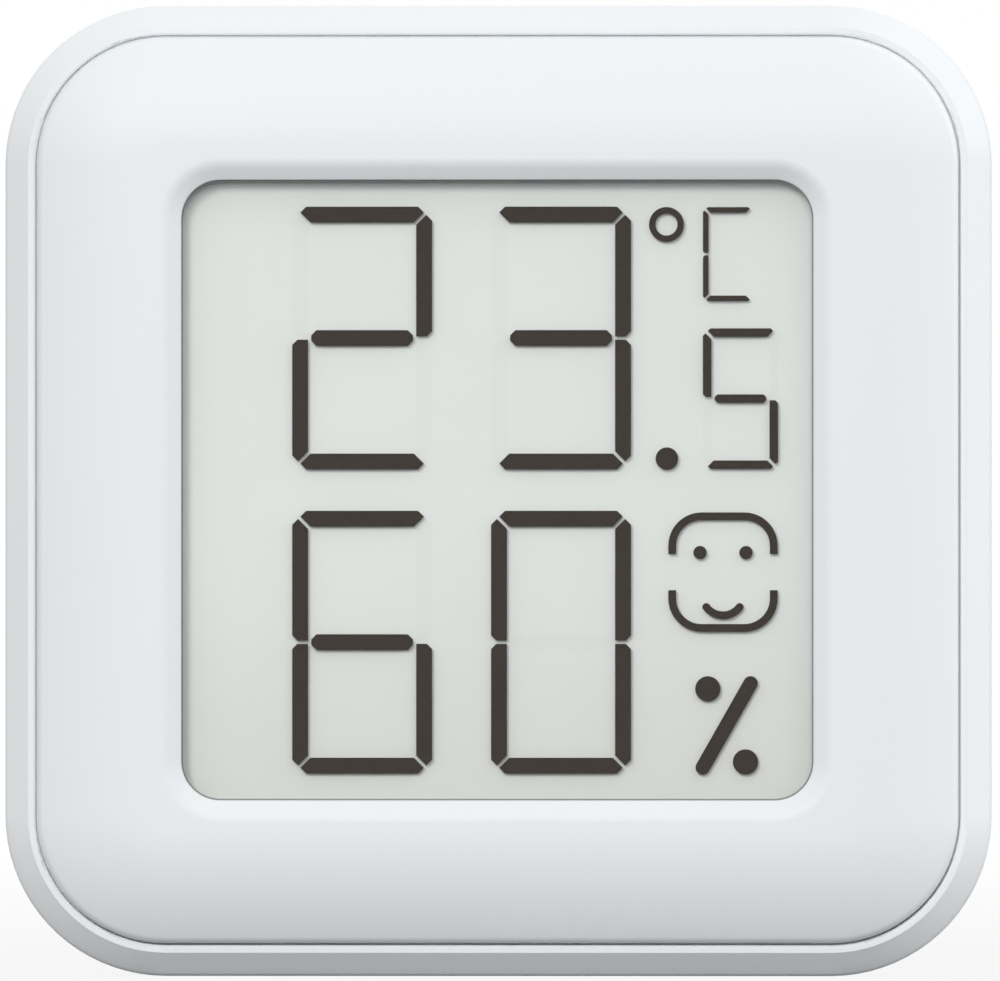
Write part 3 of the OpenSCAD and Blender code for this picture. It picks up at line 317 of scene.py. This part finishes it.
# Materials

class Wire:
    """A socket that can stand in an expression."""

    def __init__(self, tree, socket):
        self.tree, self.socket = tree, socket

    def math(self, operation, first, second):
        node = self.tree.nodes.new("ShaderNodeMath")
        node.operation = operation
        for socket, value in zip(node.inputs, (first, second)):
            connect(self.tree, socket, value)
        return Wire(self.tree, node.outputs[0])

    def __add__(self, other):
        return self.math("ADD", self, other)

    def __radd__(self, other):
        return self.math("ADD", other, self)

    def __mul__(self, other):
        return self.math("MULTIPLY", self, other)

    def __rmul__(self, other):
        return self.math("MULTIPLY", other, self)


def connect(tree, socket, value):
    """Links a wire to a socket, or sets the socket's own value."""
    if isinstance(value, Wire):
        tree.links.new(value.socket, socket)
    else:
        socket.default_value = value


class Nodes:
    """A node tree that is filled one node at a time."""

    def __init__(self, tree):
        self.tree = tree

    def add(self, kind, settings=None, sockets=None, out=0):
        """A new node with its settings, then its sockets' values or links. Gives one of its outputs."""
        node = self.tree.nodes.new("ShaderNode" + kind)
        for key, value in (settings or {}).items():
            setattr(node, key, value)
        for key, value in (sockets or {}).items():
            connect(self.tree, node.inputs[key], value)
        return Wire(self.tree, node.outputs[out])

    def place(self):
        return self.add("TexCoord", out="Object")

    def noise(self, size_mm, detail=2.0):
        """Grain whose lumps are about as large as the given size."""
        return self.add("TexNoise", None, {
            "Vector": self.place(), "Scale": 1 / (size_mm * MM), "Detail": detail,
        })

    def blend(self, factor, first, second):
        """A colour between two colours."""
        return self.add("Mix", {"data_type": "RGBA"}, {0: factor, 6: first, 7: second}, out=2)

    def bump(self, height, depth_mm, strength):
        return self.add("Bump", None, {
            "Height": height, "Distance": depth_mm * MM, "Strength": strength,
        })


class Finish(Nodes):
    """A material around one Principled shader."""

    def __init__(self, name, **sockets):
        self.material = bpy.data.materials.new(name)
        self.material.use_nodes = True
        super().__init__(self.material.node_tree)
        self.shader = self.tree.nodes["Principled BSDF"]
        self.set(**sockets)

    def set(self, **sockets):
        for key, value in sockets.items():
            connect(self.tree, self.shader.inputs[key.replace("_", " ")], value)


def rgb(r, g, b):
    return (r, g, b, 1.0)


def satin_case():
    """Satin white moulded plastic with a very fine grain."""
    f = Finish("satin_case", Specular_IOR_Level=0.42)
    cloud, grain = f.noise(9.0), f.noise(0.14, detail=3.0)
    f.set(
        Base_Color=f.blend(cloud, rgb(0.858, 0.891, 0.915), rgb(0.878, 0.902, 0.922)),
        Roughness=0.40 + 0.12 * grain + 0.05 * cloud,
        Normal=f.bump(grain, depth_mm=0.0012, strength=0.5),
    )
    return f.material


def display_film():
    """Clear anti-glare film on glass: almost nothing of it shows but a faint haze."""
    f = Finish("display_film", Base_Color=rgb(0.80, 0.83, 0.81), Specular_IOR_Level=0.5)
    grain = f.noise(0.09)
    f.set(Roughness=0.22 + 0.1 * grain, Alpha=0.006 + 0.005 * grain)
    return f.material


def display_glass():
    """Thin clear glass with a trace of green."""
    f = Finish("display_glass", Base_Color=rgb(0.82, 0.88, 0.84), Specular_IOR_Level=0.5, Roughness=0.06)
    f.set(Alpha=0.010 + 0.006 * f.noise(3.0))
    return f.material


def display_segments():
    """Switched-on liquid crystal: warm near-black."""
    f = Finish("display_segments", Specular_IOR_Level=0.1)
    f.set(
        Base_Color=f.blend(f.noise(0.8), rgb(0.033, 0.024, 0.018), rgb(0.041, 0.031, 0.024)),
        Roughness=0.5 + 0.1 * f.noise(0.1),
    )
    return f.material


def display_reflector(name, low, high):
    """Fine-grained grey-green reflecting film, mottled between two colours, with a painted reflection
    that makes it darker and warmer lower down.
    """
    f = Finish(name, Specular_IOR_Level=0.3)
    cloud, grain = f.noise(6.0), f.noise(0.06)
    up = f.add("SeparateXYZ", None, {"Vector": f.place()}, out="Z")
    # Painted reflection: a darker, warmer colour is mixed in towards the lower edge.
    painted_low_reflection = f.add("MapRange", {"interpolation_type": "SMOOTHSTEP"}, {
        "Value": up, "From Min": LOW_REFLECTION_FROM_Z * MM, "From Max": LOW_REFLECTION_FULL_Z * MM,
        "To Min": 0.0, "To Max": 1.0,
    })
    mottled = f.blend(0.6 * cloud + 0.4 * grain, rgb(*low), rgb(*high))
    f.set(
        Base_Color=f.blend(0.2 * painted_low_reflection, mottled, rgb(0.45, 0.43, 0.36)),
        Roughness=0.55 + 0.2 * grain,
        Normal=f.bump(grain, depth_mm=0.002, strength=0.4),
    )
    return f.material


def moulded(name, low, high, rough, grain_mm=0.2, depth_mm=0.002):
    """Plain moulded, cast or fired stuff, mottled between two colours."""
    f = Finish(name)
    grain = f.noise(grain_mm, detail=4.0)
    f.set(
        Base_Color=f.blend(grain, rgb(*low), rgb(*high)),
        Roughness=rough - 0.08 + 0.16 * grain,
        Normal=f.bump(grain, depth_mm, strength=0.6),
    )
    return f.material


def layered_rubber():
    """Silicone strip with thin carbon layers across its length."""
    f = Finish("layered_rubber", Roughness=0.7)
    layers = f.add("TexWave", {"wave_type": "BANDS", "bands_direction": "X", "wave_profile": "SIN"}, {
        "Vector": f.place(), "Scale": 1 / (0.9 * MM), "Distortion": 0.2,
    })
    f.set(Base_Color=f.blend(layers, rgb(0.62, 0.42, 0.41), rgb(0.78, 0.56, 0.55)))
    return f.material


def solder_mask():
    """Green board with a fine weave under its coat."""
    f = Finish("solder_mask", Specular_IOR_Level=0.5)
    weave = f.add("TexBrick", {"offset": 0.0}, {
        "Vector": f.place(), "Scale": 1 / (0.5 * MM), "Mortar Size": 0.06,
        "Color1": rgb(1, 1, 1), "Color2": rgb(0.8, 0.8, 0.8), "Mortar": rgb(0.3, 0.3, 0.3),
    })
    shade = 0.35 * f.noise(1.2) + 0.5 * f.add("RGBToBW", None, {"Color": weave})
    f.set(
        Base_Color=f.blend(shade, rgb(0.025, 0.20, 0.09), rgb(0.06, 0.30, 0.15)),
        Roughness=0.32 + 0.1 * f.noise(0.6),
    )
    return f.material


def bright_steel():
    """Bright nickel-plated steel with fine brushing."""
    f = Finish("bright_steel", Metallic=1.0)
    long = f.add("Mapping", None, {"Vector": f.place(), "Scale": (1.0, 1.0, 14.0)})
    brushing = f.add("TexNoise", None, {"Vector": long, "Scale": 1 / (0.5 * MM), "Detail": 3.0})
    f.set(
        Base_Color=f.blend(brushing, rgb(0.58, 0.58, 0.56), rgb(0.68, 0.68, 0.66)),
        Roughness=0.24 + 0.14 * brushing,
        Normal=f.bump(brushing, depth_mm=0.0008, strength=0.5),
    )
    return f.material


# Stage

def lamp(name, place, size, power, colour=(1, 1, 1)):
    """A rectangular lamp that is turned to the object's middle."""
    light = bpy.data.lights.new(name, "AREA")
    light.shape, light.size, light.size_y = "RECTANGLE", size[0], size[1]
    light.energy, light.color = power, colour
    lamp_object = bpy.data.objects.new(name, light)
    lamp_object.location = place
    beam = Vector(LAMP_TARGET) - Vector(place)
    lamp_object.rotation_euler = beam.to_track_quat("-Z", "Y").to_euler()
    bpy.context.scene.collection.objects.link(lamp_object)


def seen_directly(n):
    """1 for rays that show the backdrop: straight to the camera, in a mirror or through glass."""
    rays = ("Is Camera Ray", "Is Glossy Ray", "Is Transmission Ray")
    straight, mirrored, through = [n.add("LightPath", out=ray) for ray in rays]
    return straight + mirrored + through


def white_floor():
    """A pale floor that keeps the object's shadow."""
    mesh = bpy.data.meshes.new("floor")
    bm = bmesh.new()
    bmesh.ops.create_grid(bm, x_segments=4, y_segments=4, size=FLOOR_REACH)
    bm.to_mesh(mesh)
    bm.free()
    floor = bpy.data.objects.new("floor", mesh)
    floor.location.z = -FLOOR_GAP * MM
    bpy.context.scene.collection.objects.link(floor)
    f = Finish("floor", Base_Color=rgb(0.18, 0.18, 0.18), Roughness=0.9, Specular_IOR_Level=0.0)
    glow = f.add("Emission", None, {"Color": rgb(1, 1, 1), "Strength": 1.0})
    principled = Wire(f.tree, f.shader.outputs[0])
    far = f.add("VectorMath", {"operation": "LENGTH"}, {0: f.place()}, out="Value")
    fade = f.add("MapRange", None, {
        "Value": far, "From Min": FADE_FROM, "From Max": FADE_TO, "To Min": FADE_LEAST, "To Max": 1.0,
    })
    shown = f.add("MixShader", None, {"Fac": fade * seen_directly(f), 1: principled, 2: glow})
    connect(f.tree, f.tree.nodes["Material Output"].inputs["Surface"], shown)
    mesh.materials.append(f.material)


def studio_world():
    """Soft light from all round, with a white backdrop."""
    world = bpy.data.worlds.new("studio")
    bpy.context.scene.world = world
    world.use_nodes = True
    n = Nodes(world.node_tree)
    soft = n.add("Background", None, {"Color": rgb(1.0, 0.99, 0.985), "Strength": 0.61})
    white = n.add("Background", None, {"Color": rgb(1, 1, 1), "Strength": 1.0})
    shown = n.add("MixShader", None, {"Fac": seen_directly(n), 1: soft, 2: white})
    connect(n.tree, n.tree.nodes["World Output"].inputs["Surface"], shown)


def photo_camera():
    """A long lens, almost straight in front of the face and a degree to the right of its middle."""
    distance, turn, drop = 1.0, math.radians(1.2), math.radians(0.2)
    middle = Vector((0, 0, CASE_H / 2 * MM))
    camera = bpy.data.cameras.new("camera")
    camera.sensor_width = SENSOR_W
    camera.lens = SENSOR_W * distance / (IMAGE_W_PX * CASE_W / CASE_W_PX * MM)
    camera.clip_start, camera.clip_end = 0.05, 20
    rig = bpy.data.objects.new("camera", camera)
    back = Vector((math.sin(turn) * math.cos(drop), -math.cos(turn) * math.cos(drop), -math.sin(drop)))
    rig.location = middle + back * distance
    rig.rotation_euler = (-back).to_track_quat("-Z", "Y").to_euler()
    bpy.context.scene.collection.objects.link(rig)
    bpy.context.scene.camera = rig


# The object

def dress(piece, material):
    """Gives a piece one material all over."""
    piece.data.materials.clear()
    piece.data.materials.append(material)


case_white = satin_case()
front_cover = loft("front_cover_skin", front_cover_rings(), capped=False)
dress(front_cover, case_white)
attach(front_cover, "case")
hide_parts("front_cover")

pane = loft("lcd_pane", pane_rings(), capped=True)
film = display_film()
dress(pane, film)
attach(pane, "case")
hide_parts("lcd_polarizer", "lcd_front_glass")

back_plate = loft("lcd_back_plate", back_plate_rings(), capped=True)
reflector = display_reflector("display_reflector", (0.805, 0.843, 0.813), (0.870, 0.902, 0.877))
dress(back_plate, reflector)
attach(back_plate, "case")
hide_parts("lcd_rear_glass", "lcd_reflector")

# The switched-off segments show as slightly darker plates on the reflecting film. This is partly their
# own faint trace and partly a painted shadow of them.
unlit = thin_plates("lcd_unlit_traces_and_shadows", unlit_outlines(), REFLECTOR_SEEN_Z + UNLIT_T, REFLECTOR_SEEN_Z)
dress(unlit, display_reflector("unlit_segment_traces_and_shadows", (0.785, 0.82, 0.79), (0.85, 0.877, 0.853)))
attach(unlit, "case")

steel = bright_steel()
glass = display_glass()
EPOXY = {"rough": 0.35, "grain_mm": 0.5, "depth_mm": 0.004}
FOAM = {"rough": 0.85, "grain_mm": 0.12, "depth_mm": 0.01}
POWDER = {"rough": 0.9, "grain_mm": 0.1, "depth_mm": 0.01}
epoxy = moulded("cast_epoxy", (0.015, 0.015, 0.017), (0.026, 0.026, 0.028), **EPOXY)
FINISHES = {
    "rear_shell": case_white, "unit_button": case_white, "battery_door": case_white, "stand": case_white,
    "lcd_gasket": moulded("grey_foam", (0.23, 0.23, 0.24), (0.29, 0.29, 0.30), **FOAM),
    "foam_strip": moulded("dark_foam", (0.06, 0.06, 0.064), (0.10, 0.10, 0.106), **FOAM),
    "lcd_polarizer": film, "lcd_front_glass": glass, "lcd_rear_glass": glass,
    "lcd_segments": display_segments(), "lcd_reflector": reflector,
    "lcd_seal": moulded("cured_adhesive", (0.72, 0.75, 0.72), (0.79, 0.81, 0.78), rough=0.6),
    "elastomer_connector": layered_rubber(), "circuit_board": solder_mask(),
    "controller_cap": epoxy, "thermistor": epoxy,
    "board_screws": steel, "crystal": steel, "sensor_leads": steel, "contact_positive": steel,
    "contact_negative": steel, "cell_can": steel, "cell_cap": steel,
    "humidity_sensor": moulded(
        "fired_ceramic", (0.82, 0.81, 0.76), (0.89, 0.88, 0.84), rough=0.55, grain_mm=0.15,
    ),
    "chip_resistors": moulded("glazed_chip", (0.04, 0.04, 0.045), (0.06, 0.06, 0.066), rough=0.3),
    "chip_capacitors": moulded("fired_chip", (0.50, 0.38, 0.26), (0.60, 0.47, 0.33), rough=0.5),
    "switch_body": moulded("switch_plastic", (0.034, 0.034, 0.038), (0.05, 0.05, 0.055), rough=0.5),
    "switch_plunger": moulded("plunger_plastic", (0.40, 0.065, 0.055), (0.49, 0.09, 0.08), rough=0.45),
    "cell_gasket": moulded("cell_seal", (0.17, 0.17, 0.18), (0.23, 0.23, 0.24), rough=0.7),
    "cell_core": moulded("pressed_powder", (0.07, 0.07, 0.07), (0.13, 0.13, 0.13), **POWDER),
}
gentle = gentle_edges()
round_edges(nodes["stand"], STAND_EDGE_R)
for name, material in FINISHES.items():
    dress(nodes[name], material)
    smooth_solid(nodes[name], gentle)
dress(nodes["front_cover"], case_white)

white_floor()
studio_world()
lamp("key_light", (-0.30, -0.89, 0.38), (0.2, 0.2), 2.0, (1.0, 0.98, 0.96))
lamp("front_light", (-0.06, -0.96, 0.25), (0.5, 0.4), 3.1, (0.98, 0.995, 1.0))
lamp("right_fill", (1.0, 0.03, 0.19), (0.5, 0.5), 4.4)
lamp("back_fill", (-0.1, 0.9, 0.5), (0.6, 0.5), 3.0)
photo_camera()
bpy.context.scene.view_settings.view_transform = "Standard"
